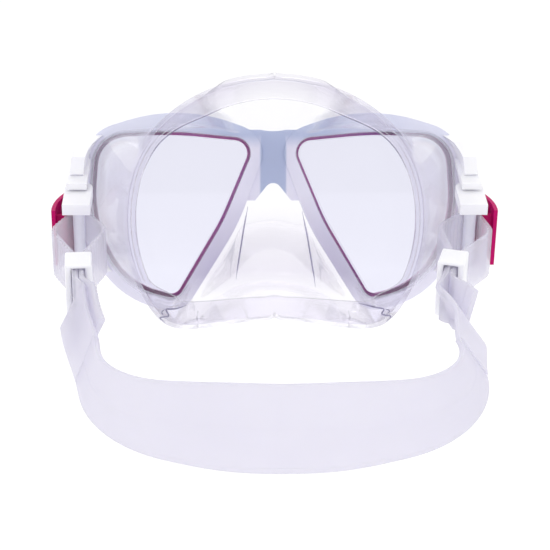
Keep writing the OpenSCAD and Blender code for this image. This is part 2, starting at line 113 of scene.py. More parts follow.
def belt(rounds, extra=0.0, steps=24):
    """Closed outline of the tangents round circles listed counter-clockwise, grown by extra."""
    grown = [(x, z, r + extra) for x, z, r in rounds]
    points = []
    for i, (x, z, r) in enumerate(grown):
        start = lead(grown[i - 1], grown[i])
        sweep = (lead(grown[i], grown[(i + 1) % len(grown)]) - start) % math.tau
        for k in range(steps + 1):
            angle = start + sweep * k / steps
            points.append((x + r * math.cos(angle), z + r * math.sin(angle)))
    return np.array(points)


def ray_outline(outline, centre, angles):
    """Distance from centre to the outline in each direction."""
    p = outline - centre
    e = np.roll(outline, -1, axis=0) - outline
    d = np.stack([np.cos(angles), np.sin(angles)], axis=1)
    den = d[:, None, 0] * e[None, :, 1] - d[:, None, 1] * e[None, :, 0]
    safe = np.where(np.abs(den) < 1e-9, 1e-9, den)
    reach = (p[:, 0] * e[:, 1] - p[:, 1] * e[:, 0])[None, :] / safe
    along = (p[None, :, 0] * d[:, None, 1] - p[None, :, 1] * d[:, None, 0]) / safe
    good = (along > -1e-6) & (along < 1 + 1e-6) & (np.abs(den) > 1e-9)
    return np.where(good, reach, -1e9).max(axis=1)


def ray_circle(circle, centre, angles):
    f = centre - np.array(circle[:2])
    b = f[0] * np.cos(angles) + f[1] * np.sin(angles)
    return -b + np.sqrt(b * b - f @ f + circle[2] ** 2)


def smooth(v):
    t = np.clip(v, 0.0, 1.0)
    return t * t * (3 - 2 * t)


def hump(v, middle, half):
    """1 at middle, falling smoothly to 0 at half away."""
    return smooth(1 - np.abs(v - middle) / half)


def smooth_max(a, b, soft):
    return 0.5 * (a + b + np.sqrt((a - b) ** 2 + soft * soft))


# ---------- meshes ----------

def new_piece(name, points, faces, material):
    mesh = bpy.data.meshes.new(name)
    mesh.from_pydata([tuple(p * MM) for p in np.asarray(points, float)], [], faces)
    mesh.validate()
    for polygon in mesh.polygons:
        polygon.use_smooth = True
    piece = bpy.data.objects.new(name, mesh)
    bpy.context.scene.collection.objects.link(piece)
    mesh.materials.append(material)
    return piece


def edit(piece, work):
    """Runs work on the piece's bmesh and writes it back."""
    bm = bmesh.new()
    bm.from_mesh(piece.data)
    work(bm)
    bm.to_mesh(piece.data)
    bm.free()


def corner_cut(rows, times):
    """Rounds section curves: rows is stations x points x 3, ends stay."""
    for _ in range(times):
        a, b = rows[:, :-1], rows[:, 1:]
        cut = np.stack([0.75 * a + 0.25 * b, 0.25 * a + 0.75 * b], axis=2)
        cut = cut.reshape(rows.shape[0], -1, 3)
        rows = np.concatenate([rows[:, :1], cut[:, 1:-1], rows[:, -1:]], axis=1)
    return rows


def resample(line, spacing):
    steps = np.linalg.norm(np.diff(line, axis=0), axis=1)
    at = np.concatenate([[0], np.cumsum(steps)])
    keep = np.concatenate([[True], np.diff(at) > 1e-9])
    count = max(2, int(round(at[-1] / spacing)))
    s = np.linspace(0, at[-1], count + 1)
    return np.stack([np.interp(s, at[keep], line[keep, k]) for k in range(line.shape[1])], axis=1)


def relax(line, times):
    line = line.copy()
    for _ in range(times):
        line[1:-1] = 0.25 * line[:-2] + 0.5 * line[1:-1] + 0.25 * line[2:]
    return line


def tube_faces(count, around):
    """Faces of a closed tube of count rings with around points each."""
    faces = [
        (i * around + k, i * around + (k + 1) % around,
         (i + 1) * around + (k + 1) % around, (i + 1) * around + k)
        for i in range(count - 1) for k in range(around)
    ]
    faces.append(tuple(range(around - 1, -1, -1)))
    faces.append(tuple((count - 1) * around + k for k in range(around)))
    return faces


def bpy_vector(v):
    return Vector([float(x) for x in v])


# ---------- materials ----------

def srgb(r, g, b):
    """An 8-bit screen colour as linear red, green and blue."""
    def linear(v):
        v /= 255.0
        return v / 12.92 if v <= 0.04045 else ((v + 0.055) / 1.055) ** 2.4
    return (linear(r), linear(g), linear(b), 1.0)


class Shader:
    """A small helper for writing node trees."""

    def __init__(self, name):
        self.material = bpy.data.materials.new(name)
        self.material.use_nodes = True
        self.tree = self.material.node_tree
        self.tree.nodes.clear()
        self.output = self.tree.nodes.new("ShaderNodeOutputMaterial")

    def add(self, kind, settings=None, **inputs):
        node = self.tree.nodes.new("ShaderNode" + kind)
        for key, value in (settings or {}).items():
            setattr(node, key, value)
        for key, value in inputs.items():
            numbered = key[0] == "i" and key[1:].isdigit()
            self.put(node.inputs[int(key[1:]) if numbered else key.replace("_", " ")], value)
        return node

    def put(self, socket, value):
        if isinstance(value, bpy.types.NodeSocket):
            self.tree.links.new(value, socket)
        elif isinstance(value, bpy.types.Node):
            self.tree.links.new(value.outputs[0], socket)
        else:
            socket.default_value = value

    def math(self, operation, a, b=0.0, clamp=False):
        return self.add("Math", {"operation": operation, "use_clamp": clamp}, i0=a, i1=b)

    def mix_colour(self, factor, a, b):
        node = self.add("Mix", {"data_type": "RGBA"})
        self.put(node.inputs[0], factor)
        self.put(node.inputs[6], a)
        self.put(node.inputs[7], b)
        return node.outputs[2]

    def ramp(self, value, stops):
        node = self.add("ValToRGB", None, Fac=value)
        elements = node.color_ramp.elements
        while len(elements) < len(stops):
            elements.new(0.5)
        for element, (place, level) in zip(elements, stops):
            element.position = place
            element.color = (level, level, level, 1.0) if isinstance(level, float) else level
        return node

    def place(self):
        return self.add("TexCoord").outputs["Object"]

    def noise(self, scale, detail=2.0, roughness=0.5):
        return self.add(
            "TexNoise", None, Vector=self.place(), Scale=scale, Detail=detail, Roughness=roughness)

    def bump(self, height, strength, distance):
        return self.add("Bump", None, Height=height, Strength=strength, Distance=distance)

    def mix(self, factor, a, b):
        node = self.add("MixShader")
        self.put(node.inputs[0], factor)
        self.put(node.inputs[1], a)
        self.put(node.inputs[2], b)
        return node

    def end(self, shader):
        self.tree.links.new(shader.outputs[0], self.output.inputs["Surface"])
        return self.material


def plastic(name, colour, second, roughness, glow=0.0, fleck=0.03, shine=0.5):
    """Moulded plastic: faint colour drift, a fine moulded grain and a soft sheen."""
    s = Shader(name)
    drift = s.ramp(s.noise(38.0, 3.0), [(0.35, 0.0), (0.7, 1.0)])
    base = s.mix_colour(drift, colour, second)
    grain = s.noise(2600.0, 4.0, 0.6)
    waves = s.noise(160.0, 2.0)
    height = s.math("ADD", s.math("MULTIPLY", grain, fleck), s.math("MULTIPLY", waves, 0.4))
    rough = s.math("ADD", s.math("MULTIPLY", s.noise(420.0, 3.0), 0.12), roughness)
    body = s.add(
        "BsdfPrincipled", None, Base_Color=base, Roughness=rough, IOR=1.49,
        Coat_Weight=0.2 * shine, Coat_Roughness=0.15, Specular_IOR_Level=shine,
        Normal=s.bump(height, 0.1, 0.0003),
        Subsurface_Weight=glow, Subsurface_Radius=(0.004, 0.004, 0.005), Subsurface_Scale=1.0,
    )
    return s.end(body)


def clear(name, tint, edge, face_haze, edge_haze, gloss, power=2.2, haze_colour=None, lip_tint_and_nose_shade=None):
    """Clear moulded silicone or glass: nearly invisible face on, and tinted where it is seen edge on."""
    s = Shader(name)
    if lip_tint_and_nose_shade:
        # A deeper tint where the skirt reaches far back at the sealing lip, and painted shade on the nose towards
        # its foot.
        # The ramps read tenths of a metre
        x, y, z = (s.add("SeparateXYZ", None, Vector=s.place()).outputs[k] for k in range(3))
        lip = s.ramp(s.math("MULTIPLY", y, -10.0), [(0.26, 0.0), (0.33, 0.7)])
        foot = s.ramp(s.math("MULTIPLY", z, -10.0), [(0.16, 0.0), (0.5, 1.0), (0.6, 0.3)])
        nose = s.ramp(s.math("MULTIPLY", s.math("ABSOLUTE", x), 10.0), [(0.24, 1.0), (0.46, 0.0)])
        lip_and_nose_shade_amount = s.math("MAXIMUM", lip, s.math("MULTIPLY", foot, nose))
        tint = s.mix_colour(lip_and_nose_shade_amount, tint, lip_tint_and_nose_shade)
    facing = s.add("LayerWeight", None, Blend=0.5).outputs["Facing"]
    steep = s.math("POWER", facing, power)
    cloud = s.math("MULTIPLY", s.noise(55.0, 3.0), face_haze)
    haze = s.math("ADD", cloud, s.math("MULTIPLY", steep, edge_haze), clamp=True)
    colour = s.mix_colour(steep, haze_colour or srgb(250, 249, 253), edge)
    skin = s.bump(s.noise(140.0, 3.0), 0.12, 0.0006)
    through = s.add("BsdfTransparent", None, Color=tint)
    veil = s.add("BsdfDiffuse", None, Color=colour, Normal=skin)
    glow = s.add("BsdfTranslucent", None, Color=colour, Normal=skin)
    body = s.mix(haze, through, s.mix(0.5, veil, glow))
    shine = s.add("BsdfGlossy", None, Color=(1, 1, 1, 1), Roughness=gloss, Normal=skin)
    fresnel = s.add("Fresnel", None, IOR=1.41)
    return s.end(s.mix(s.math("MULTIPLY", fresnel, 0.45), body, shine))


def metal(name, colour, roughness):
    s = Shader(name)
    lines = s.noise(900.0, 6.0, 0.7)
    rough = s.math("ADD", s.math("MULTIPLY", lines, 0.2), roughness)
    body = s.add(
        "BsdfPrincipled", None, Base_Color=s.mix_colour(s.noise(90.0), colour, srgb(150, 152, 158)),
        Metallic=1.0, Roughness=rough, Normal=s.bump(lines, 0.2, 0.0001),
    )
    return s.end(body)


def frame_plastic():
    """Pale lilac rims that turn to a deeper grey-blue over the bridge, with grey-blue painted shade over the inner
    brow towards the nose.
    """
    s = Shader("frame_plastic")
    x, y, z = (s.add("SeparateXYZ", None, Vector=s.place()).outputs[k] for k in range(3))
    across = s.math("ABSOLUTE", x)
    middle = s.ramp(s.math("DIVIDE", across, 0.06), [(0.085, 1.0), (0.098, 0.0)])
    # Painted shade: the upper rims grow grey-blue towards the nose
    brow_shade_by_nose = s.ramp(s.math("DIVIDE", across, 0.06), [(0.35, 0.95), (0.66, 0.45), (1.0, 0.3)])
    high = s.ramp(s.math("DIVIDE", s.math("ADD", z, 0.06), 0.08), [(0.79, 0.0), (0.86, 1.0)])
    bridge_tone_and_brow_shade = s.math("MAXIMUM", s.math("MULTIPLY", brow_shade_by_nose, high), middle)
    drift = s.ramp(s.noise(30.0, 3.0), [(0.3, 0.0), (0.75, 1.0)])
    pale = s.mix_colour(drift, srgb(246, 244, 255), srgb(238, 236, 253))
    base = s.mix_colour(bridge_tone_and_brow_shade, pale, srgb(180, 192, 224))
    grain = s.noise(2400.0, 3.0, 0.6)
    rough = s.math("ADD", s.math("MULTIPLY", s.noise(300.0, 3.0), 0.1), 0.2)
    body = s.add(
        "BsdfPrincipled", None, Base_Color=base, Roughness=rough, IOR=1.55,
        Coat_Weight=0.3, Coat_Roughness=0.08, Normal=s.bump(grain, 0.08, 0.0002),
    )
    return s.end(body)


def strap_silicone():
    """Milky silicone: soft, faintly translucent, with a fine satin skin, and painted shade in its grooves."""
    s = Shader("strap_silicone")
    drift = s.ramp(s.noise(24.0, 3.0), [(0.3, 0.0), (0.72, 1.0)])
    base = s.mix_colour(drift, srgb(250, 249, 254), srgb(244, 243, 250))
    facing = s.add("LayerWeight", None, Blend=0.4).outputs["Facing"]
    base = s.mix_colour(s.math("MULTIPLY", facing, 0.35), base, srgb(214, 212, 228))
    # Painted shade: concave spots, such as the grooves between the ribs, are darkened by their pointiness
    groove = s.ramp(s.add("NewGeometry").outputs["Pointiness"], [(0.4, 1.0), (0.49, 0.0)])
    base = s.mix_colour(s.math("MULTIPLY", groove, 0.8), base, srgb(176, 174, 196))
    skin = s.math("ADD", s.math("MULTIPLY", s.noise(1800.0, 4.0, 0.6), 0.15), s.noise(120.0, 2.0))
    body = s.add(
        "BsdfPrincipled", None, Base_Color=base, IOR=1.41,
        Roughness=s.math("ADD", s.math("MULTIPLY", s.noise(350.0, 3.0), 0.15), 0.3),
        Subsurface_Weight=0.35, Subsurface_Radius=(0.006, 0.006, 0.007), Subsurface_Scale=1.0,
        Normal=s.bump(skin, 0.15, 0.0004),
    )
    through = s.add("BsdfTranslucent", None, Color=srgb(235, 232, 246))
    clear_part = s.add("BsdfTransparent", None, Color=(0.972, 0.968, 0.988, 1.0))
    # The single ply round the roller is stretched and clearer than the doubled strap and the band
    y = s.add("SeparateXYZ", None, Vector=s.place()).outputs[1]
    share = s.ramp(s.math("MULTIPLY", y, -10.0), [(0.6, 0.55), (0.78, 0.2)])
    return s.end(s.mix(share, s.mix(0.4, body, through), clear_part))


MATERIALS = {
    "frame_plastic": frame_plastic(),
    "lens_glass": clear("lens_glass", (0.89, 0.89, 0.947, 1.0), srgb(190, 190, 215), 0.04, 0.3, 0.02),
    "ring_plastic": plastic("ring_plastic", srgb(224, 80, 170), srgb(190, 80, 180), 0.2),
    "clear_silicone": clear(
        "clear_silicone", (0.988, 0.986, 0.995, 1.0), srgb(228, 226, 245), 0.03, 0.55, 0.09, 6.0,
        lip_tint_and_nose_shade=(0.89, 0.878, 0.92, 1.0)),
    # Darker silicone for the creases and the lip's edge: painted shade
    "silicone_creases_and_shade": clear(
        "silicone_creases_and_shade", (0.8, 0.79, 0.87, 1.0), srgb(158, 156, 186), 0.3, 0.8, 0.12, 1.2,
        srgb(168, 166, 192)),
    "white_plastic": plastic("white_plastic", srgb(250, 250, 254), srgb(244, 243, 251), 0.28, 0.15),
    "roller_plastic": plastic("roller_plastic", srgb(236, 236, 245), srgb(228, 228, 240), 0.3, 0.15),
    "pin_steel": metal("pin_steel", srgb(212, 214, 218), 0.22),
    "lever_plastic": plastic("lever_plastic", srgb(196, 0, 104), srgb(180, 0, 90), 0.35, 0.0, 0.03, 0.12),
    "spring_steel": metal("spring_steel", srgb(188, 190, 196), 0.3),
    "strap_silicone": strap_silicone(),
}

# ---------- CAD nodes that stay ----------

BEVELS = {
    "frame": 1.1, "bracket": 0.6, "buckle_body": 0.5, "release_lever": 0.35, "keeper": 0.7,
    "roller": 0.3, "retainer": 0.25, "pivot_pin": 0.15,
}


def finish_cad_nodes():
    slots = {s["node"]: s["material_slot"] for s in frame["record"]["subparts"]}
    for name, piece in frame["nodes"].items():
        piece.data.materials.clear()
        piece.data.materials.append(MATERIALS[slots[name]])
        stem = name.rsplit("_", 1)[0] if name.endswith(("_left", "_right")) else name
        weld = piece.modifiers.new("weld", "WELD")
        weld.merge_threshold = 0.00001
        if stem in BEVELS:
            bevel = piece.modifiers.new("bevel", "BEVEL")
            bevel.width = BEVELS[stem] * MM
            bevel.segments = 3
            bevel.limit_method = "ANGLE"
            bevel.angle_limit = math.radians(32)
            bevel.harden_normals = False


finish_cad_nodes()

# ---------- skirt ----------

SEAL_TOP = (0.0, -12.0, 70.0)
SEAL_SIDE = (-9.5, 0.0, 71.0)
SEAL_FLOOR = -46.5
SEAL_HEAD = high_corner("skirt")[2] - LENS_Z
SEAL_FOOT = -45.5
SEAL_BLEND = 14
SEAL_NEAR = 30.0
SEAL_WRAP = 22.0
SEAL_HALF_W = 61.0
NOSE_OUT = high_corner("skirt")[1]
NOSE_TOP_Z, NOSE_TIP_Z = 5.0, -22.0
BROW_FLAT = 20.0
BROW_FADE = (16.0, 36.0)
WEB_Y = FRAME_BACK - 0.3
RIDGE_BACK = WEB_Y - 0.15
NECK_LAP, WEB_LAP, NOSE_LAP = 0.35, 2.2, 7.5
NOSE_CLEAR = 0.8
WALL_T = 1.7
LIP_TEMPLE, LIP_BROW, LIP_FOOT = 5.4, 9.5, 11.5
LIP_TURN = 2.2
FOOT_LIFT = 3.3
SEAL_STATIONS = 150
RIDGE_STATIONS = 60
CORNER_ANGLE = math.radians(-82)


def brow_line(x):
    """Height of the fold above the lenses, where the forehead starts to lean back."""
    cx, cz, r = BROW_ROUND
    r += WEB_LAP
    u = np.abs(x)
    rise = np.sqrt(r * r - (cx - np.maximum(u, BROW_FLAT)) ** 2)
    slope = (cx - BROW_FLAT) / math.sqrt(r * r - (cx - BROW_FLAT) ** 2)
    dip = slope * (BROW_FLAT ** 2 - np.minimum(u, BROW_FLAT) ** 2) / (2 * BROW_FLAT)
    return cz + rise - dip


def forehead(x, z, y0):
    low = brow_line(x)
    top = SEAL_TOP[1] + np.sqrt(np.maximum(SEAL_TOP[2] ** 2 - x * x, 1.0))
    return y0 + (seal_depth(x) - y0) * np.clip((z - low) / (top - low), 0, 1)


def ridge(z):
    """Depth of the skirt along its middle plane, from forehead to upper lip."""
    rise = np.clip((NOSE_TOP_Z - z) / (NOSE_TOP_Z - NOSE_TIP_Z), 0, 1)
    nose = RIDGE_BACK + (NOSE_OUT - RIDGE_BACK) * np.sin(rise * math.pi / 2) ** 2
    drop = np.clip((NOSE_TIP_Z - z) / (NOSE_TIP_Z - SEAL_FOOT), 0, 1.1)
    floor = NOSE_OUT - (NOSE_OUT + SEAL_NEAR) * drop ** 2.5
    high = forehead(np.zeros_like(z), z, RIDGE_BACK)
    return np.where(z >= NOSE_TOP_Z, high, np.where(z >= NOSE_TIP_Z, nose, floor))


def nose_half_width(z):
    """Half the gap between the rims: the nose side's circle, then the line to the lower corner."""
    x, high, r = NOSE_ROUND
    angle = lead(NOSE_ROUND, FOOT_ROUND)
    r += NOSE_LAP + NOSE_CLEAR
    touch = (x + r * math.cos(angle), high + r * math.sin(angle))
    foot_z = FOOT_ROUND[1] + (FOOT_ROUND[2] + NOSE_LAP + NOSE_CLEAR) * math.sin(angle)
    arc = x - np.sqrt(r ** 2 - np.minimum(np.abs(high - z), r - 1) ** 2)
    line = touch[0] + math.tan(angle) * (touch[1] - np.maximum(z, foot_z))
    return np.where(z > touch[1], arc, line)


def pocket_depth(x, z):
    across = np.clip(np.abs(x) / nose_half_width(z), 0, 1)
    return RIDGE_BACK + (ridge(z) - RIDGE_BACK) * (1 - across ** 2) ** 0.75


def seal_depth(x):
    return -SEAL_NEAR - SEAL_WRAP * (x / SEAL_HALF_W) ** 2


def seal_ray(angles):
    down = np.minimum(np.sin(angles), -0.05)
    low = np.where(np.sin(angles) < -0.05, (SEAL_FLOOR - LENS_MID[1]) / down, 400.0)
    total = (
        ray_circle(SEAL_TOP, LENS_MID, angles) ** -SEAL_BLEND
        + ray_circle(SEAL_SIDE, LENS_MID, angles) ** -SEAL_BLEND
        + low ** -SEAL_BLEND
    )
    return total ** (-1 / SEAL_BLEND)


def seal_angles():
    """Directions from the lens middle to the sealing edge, closer together at the lower corner."""
    head = math.atan2(SEAL_HEAD - LENS_MID[1], -LENS_MID[0])
    foot = math.atan2(SEAL_FOOT - LENS_MID[1], -LENS_MID[0])
    fine = np.linspace(foot, head, 2000)
    weight = np.cumsum(1 + 2.5 * hump(fine, CORNER_ANGLE, math.radians(28)))
    weight = (weight - weight[0]) / (weight[-1] - weight[0])
    rim = np.interp(np.linspace(0, 1, SEAL_STATIONS + 1), weight, fine)
    levels = np.linspace(SEAL_HEAD, SEAL_FOOT, RIDGE_STATIONS + 2)[1:-1]
    middle = np.arctan2(levels - LENS_MID[1], -LENS_MID[0]) % math.tau
    return rim, middle


def nose_part(angles):
    a = np.degrees(angles % math.tau) - 180
    return smooth((a + 18) / 14) * smooth((84 - a) / 26)


def lip_width(x, z):
    """Width of the in-turned sealing lip: narrow at the temples, wide at the brow and upper lip."""
    side = smooth((np.abs(x) - 30) / 26)
    top = LIP_BROW + (LIP_TEMPLE - LIP_BROW) * side
    bottom = LIP_FOOT + (LIP_TEMPLE - LIP_FOOT) * smooth((z + 40) / 14)
    return np.where(z > 0, top, np.maximum(bottom, LIP_TEMPLE))


def skirt_half():
    rim, middle = seal_angles()
    angles = np.concatenate([rim, middle])
    count = len(angles)
    on_middle = np.zeros(count, bool)
    on_middle[[0] + list(range(SEAL_STATIONS, count))] = True
    corner = np.zeros(count, bool)
    corner[[0, SEAL_STATIONS]] = True
    along = np.stack([np.cos(angles), np.sin(angles)], axis=1)
    neck = LENS_MID + along * ray_outline(belt(LENS_ROUNDS, NECK_LAP), LENS_MID, angles)[:, None]
    narrow = ray_outline(belt(LENS_ROUNDS, WEB_LAP), LENS_MID, angles)
    wide = ray_outline(belt(LENS_ROUNDS, NOSE_LAP), LENS_MID, angles)
    web = LENS_MID + along * (narrow + (wide - narrow) * nose_part(angles))[:, None]
    edge = LENS_MID + along * seal_ray(angles)[:, None]
    edge[on_middle, 0] = 0.0
    edge[on_middle, 1] = (LENS_MID[1] - LENS_MID[0] * np.tan(angles))[on_middle]
    edge_y = np.where(on_middle, ridge(edge[:, 1]), seal_depth(edge[:, 0]))
    edge_y[corner] = -SEAL_NEAR
    lip = ~on_middle | corner
    edge_y = edge_y + LIP_TURN * lip

    def row(p, y):
        return np.stack([p[:, 0], np.broadcast_to(y, (count,)), p[:, 1]], axis=1)

    rows = [row(neck, WEB_Y + 1.0), row(neck, WEB_Y + 0.5)]
    rows.append(row(neck + along * 0.8, WEB_Y))
    rows.append(row(web - along * 0.6, WEB_Y))
    base_end = np.minimum(edge_y, WEB_Y)

    def wall_at(share_out):
        p = web + (edge - web) * share_out
        x, z = p[:, 0], p[:, 1]
        flat = WEB_Y + (base_end - WEB_Y) * share_out
        brow = smooth((BROW_FADE[1] - np.abs(x)) / (BROW_FADE[1] - BROW_FADE[0]))
        level = np.where(z > 0, brow, 0)
        flat = flat + (forehead(x, z, WEB_Y) - flat) * level
        pocket = np.where(z < NOSE_TOP_Z, pocket_depth(x, z), RIDGE_BACK)
        pushed = smooth_max(flat, pocket, 1.5) - 0.7
        reach = smooth(share_out / 0.1) * smooth((NOSE_TOP_Z + 3 - z) / 6)
        reach = reach * smooth((nose_half_width(z) + 9 - np.abs(x)) / 9)
        return p, flat + (pushed - flat) * reach

    for share_out in (0.04, 0.1, 0.2, 0.3, 0.4, 0.5, 0.6, 0.7, 0.8, 0.9, 0.96):
        p, y = wall_at(share_out)
        rows.append(row(p, y))
    nose_line = on_middle & ~corner
    edge_y = np.where(nose_line, wall_at(1.0)[1], edge_y)
    rows.append(row(edge, edge_y))
    wall = np.stack(rows, axis=1)

    # The lip turns in from the sealing edge, square to its outline
    seal = edge[: SEAL_STATIONS + 1]
    run = np.gradient(seal, axis=0)
    inward = np.stack([-run[:, 1], run[:, 0]], axis=1)
    inward /= np.linalg.norm(inward, axis=1)[:, None]
    inward[0] = (0, 1)
    inward[-1] = (0, -1)
    back = seal_depth(seal[:, 0])
    width = lip_width(seal[:, 0], seal[:, 1])
    turn = [(0.3, 1.2), (1.0, 0.4), (LIP_TURN, 0.0)]
    turn += [(width * share, y) for share, y in ((0.5, 0.2), (0.7, 0.8), (0.85, 1.6), (1.0, 2.8))]
    lips = [
        np.stack([seal[:, 0] + inward[:, 0] * d, back + y, seal[:, 1] + inward[:, 1] * d], axis=1)
        for d, y in turn
    ]
    first = wall[: SEAL_STATIONS + 1, -3:]
    lip_rows = np.concatenate([first, np.stack(lips, axis=1)], axis=1)
    return wall, lip_rows


def raise_foot(points):
    """Arches the lower edge a little over the upper lip."""
    lift = FOOT_LIFT * smooth(1 - np.abs(points[:, 0]) / 38) * smooth((-28 - points[:, 2]) / 14)
    return points + np.stack([0 * lift, 0 * lift, lift], axis=1)


def build_skirt():
    wall, lip_rows = skirt_half()
    rim_n = SEAL_STATIONS + 1
    # One long section along the rim stations (wall then lip), and the wall alone on the ridge
    full = np.concatenate([wall[:rim_n], lip_rows[:, 3:]], axis=1)
    full = corner_cut(full, 2)
    ridge_rows = corner_cut(wall[rim_n:], 2)
    wall_n = ridge_rows.shape[1]
    points, faces = [], []

    def grid(rows, shift):
        n, m = rows.shape[:2]
        points.extend(rows.reshape(-1, 3))
        for i in range(n - 1):
            for j in range(m - 1):
                a = shift + i * m + j
                faces.append((a, a + m, a + m + 1, a + 1))
        return shift + n * m

    shift = grid(full, 0)
    # The rim sections follow the same curve as the ridge's up to the last wall point
    joined = np.concatenate([full[-1:, :wall_n], ridge_rows, full[:1, :wall_n]], axis=0)
    joined[:, -1, 0] = 0.0
    grid(joined, shift)
    points = raise_foot(np.array(points)) + np.array([0, 0, LENS_Z])
    mirrored = points * np.array([-1, 1, 1])
    n = len(points)
    all_faces = faces + [tuple(n + v for v in reversed(f)) for f in faces]
    piece = new_piece(
        "skirt_silicone", np.concatenate([points, mirrored]), all_faces, MATERIALS["clear_silicone"])

    def weld(bm):
        bmesh.ops.remove_doubles(bm, verts=bm.verts, dist=0.00002)
        bmesh.ops.recalc_face_normals(bm, faces=bm.faces)

    edit(piece, weld)
    return piece, lip_rows[:, -1]


def thicken(piece, thickness, offset):
    solid = piece.modifiers.new("thickness", "SOLIDIFY")
    solid.thickness = thickness * MM
    solid.offset = offset
    solid.use_even_offset = False
    solid.use_quality_normals = True


WELT_SIDES = 8
# Creases in the silicone, x and z from the lens middle: half width, then the points of the line
FOLDS = [
    (0.33, [(-36.4, -36.2), (-40.6, -37.3), (-44.8, -37.0), (-43.1, -40.1),
            (-47.4, -40.6), (-44.8, -42.8), (-45.9, -44.6)]),
    (0.24, [(-44.8, -37.0), (-46.6, -38.4), (-45.4, -39.6)]),
    (0.33, [(34.5, -35.6), (39.8, -36.6), (44.6, -37.2), (43.0, -39.6),
            (47.6, -40.2), (45.4, -42.4), (46.4, -44.8)]),
    (0.24, [(44.6, -37.2), (46.9, -37.9), (45.6, -39.2)]),
    (0.36, [(-10.8, 3.5), (-12.6, -6.0), (-14.0, -16.0), (-15.2, -24.0), (-15.8, -28.4)]),
    (0.36, [(12.2, 1.5), (14.2, -8.0), (16.4, -19.0), (17.9, -27.0), (18.4, -31.5)]),
]


def welt(line, out, half, smallest=0.25):
    """A low raised line, 2 * half wide and thinner at its ends; out is the surface's normal."""
    run = np.gradient(line, axis=0)
    run /= np.linalg.norm(run, axis=1)[:, None]
    across = np.cross(run, out)
    across /= np.linalg.norm(across, axis=1)[:, None]
    t = np.linspace(0, 1, len(line))
    size = half * (smallest + (1 - smallest) * smooth(t / 0.25) * smooth((1 - t) / 0.25))
    turn = np.arange(WELT_SIDES) * math.tau / WELT_SIDES
    rings = (
        line[:, None] + across[:, None] * (np.cos(turn)[None, :] * size[:, None])[..., None]
        + out[:, None] * (np.sin(turn)[None, :] * size[:, None] * 0.9)[..., None]
    )
    return rings.reshape(-1, 3), tube_faces(len(line), WELT_SIDES)


def build_creases_and_shade(piece, lip_end):
    """Every crease and the thin edge of the lip, laid on the silicone as one mesh of darker silicone: painted
    shade along the lines.
    """
    bpy.context.view_layer.update()
    surface = BVHTree.FromObject(piece, bpy.context.evaluated_depsgraph_get())
    parts = []
    for half, corners in FOLDS:
        line = relax(resample(np.array(corners), 0.35), 3)
        spots, normals = [], []
        for x, z in line:
            hit, normal, _, _ = surface.ray_cast(
                bpy_vector(np.array([x, -120.0, z + LENS_Z]) * MM), Vector((0, 1, 0)))
            if hit is None:
                continue
            spots.append(np.array(hit) / MM)
            normals.append(np.array(normal) if normal.y < 0 else -np.array(normal))
        spots = relax(np.array(spots), 4)
        parts.append(welt(spots, np.array(normals), half))
    brow = lip_end[(lip_end[:, 2] > 19) & (lip_end[:, 0] > 22)]
    for side in (-1, 1):
        line = resample(brow * np.array([side, 1, 1]) + np.array([0, 0, LENS_Z]), 0.8)
        spots, normals = [], []
        for point in line:
            hit, normal, _, _ = surface.find_nearest(bpy_vector(point * MM))
            spots.append(np.array(hit) / MM)
            normals.append(np.array(normal))
        parts.append(welt(relax(np.array(spots), 6), np.array(normals), 0.22))
    points, faces = [], []
    for part_points, part_faces in parts:
        shift = len(points)
        points.extend(part_points)
        faces.extend(tuple(shift + v for v in face) for face in part_faces)
    creases_and_shade = new_piece("skirt_creases_and_shade", points, faces, MATERIALS["silicone_creases_and_shade"])
    edit(creases_and_shade, lambda bm: bmesh.ops.recalc_face_normals(bm, faces=bm.faces))
    return creases_and_shade


skirt, lip_end = build_skirt()
thicken(skirt, WALL_T, -1.0)
skirt_creases_and_shade = build_creases_and_shade(skirt, lip_end)
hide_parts("skirt")
for piece in (skirt, skirt_creases_and_shade):
    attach(piece, "mask")

# ---------- strap ----------

STRAP_T = 2.2
STRAP_W = 20.0
BAND_W = 36.0
ROLLER_BACK = 12.0
LOOP_BACK, LOOP_R = 25.0, 8.8
JOIN_BACK = 44.0
PLY = 0.1 + STRAP_T / 2
TAIL_BACK = {"left": 98.0, "right": 78.0}
SEAM_BACK = 110.0
CUT_BACK = 56.0
BACK_R, CORNER_R, CORNER_X = 150.0, 38.0, 31.0
REACH = 157.0
FRONT_R = 6.0
SPACING, LOOP_SPACING = 1.2, 0.6
EDGE_ROUND = 0.75
FACE_STEPS, ARC_STEPS = 18, 4
RIB_DEPTH, RIB_PITCH = 0.8, 2.4
# 1 where the long run lies outside the tail, -1 where it lies inside
MAIN_RUN = {"left": 1, "right": -1}
# Behind the keeper's travel the strap leans, first by LEAN_NEAR and then by LEAN, and swings outward
LEAN_FROM, LEAN_OVER = 64.5, 7.0
LEAN_NEAR = {"left": math.radians(-27), "right": math.radians(-28)}
LEAN = {"left": math.radians(-24), "right": math.radians(-38)}
SWAY = {"left": 1.8, "right": 5.4}
SWAY_OVER = {"left": 8.0, "right": 26.0}
# The tail parts from the long run there: how far, and its own lean
TAIL_APART = {"left": 1.4, "right": 2.2}
TAIL_LEAN = {"left": math.radians(-27), "right": math.radians(14)}
# A reach that is past every change along the band
AWAY_FROM_REAR = 999.0


def swing_of(name):
    """How far a strap end is turned towards the head, from the way its keeper slides."""
    slide = next(j for j in frame["joints"] if j["name"] == "keeper_slide_" + name)
    return math.asin(abs(slide["axis"][0]))


SWING = {name: swing_of(name) for name in SIDES}


def handover(name):
    """Where a strap end's long run meets the band, outward and backward from the pivot's line."""
    a = SWING[name]
    out = PIVOT[0] - CUT_BACK * math.sin(a) + MAIN_RUN[name] * PLY
    return out, ROLLER_BACK + CUT_BACK * math.cos(a)


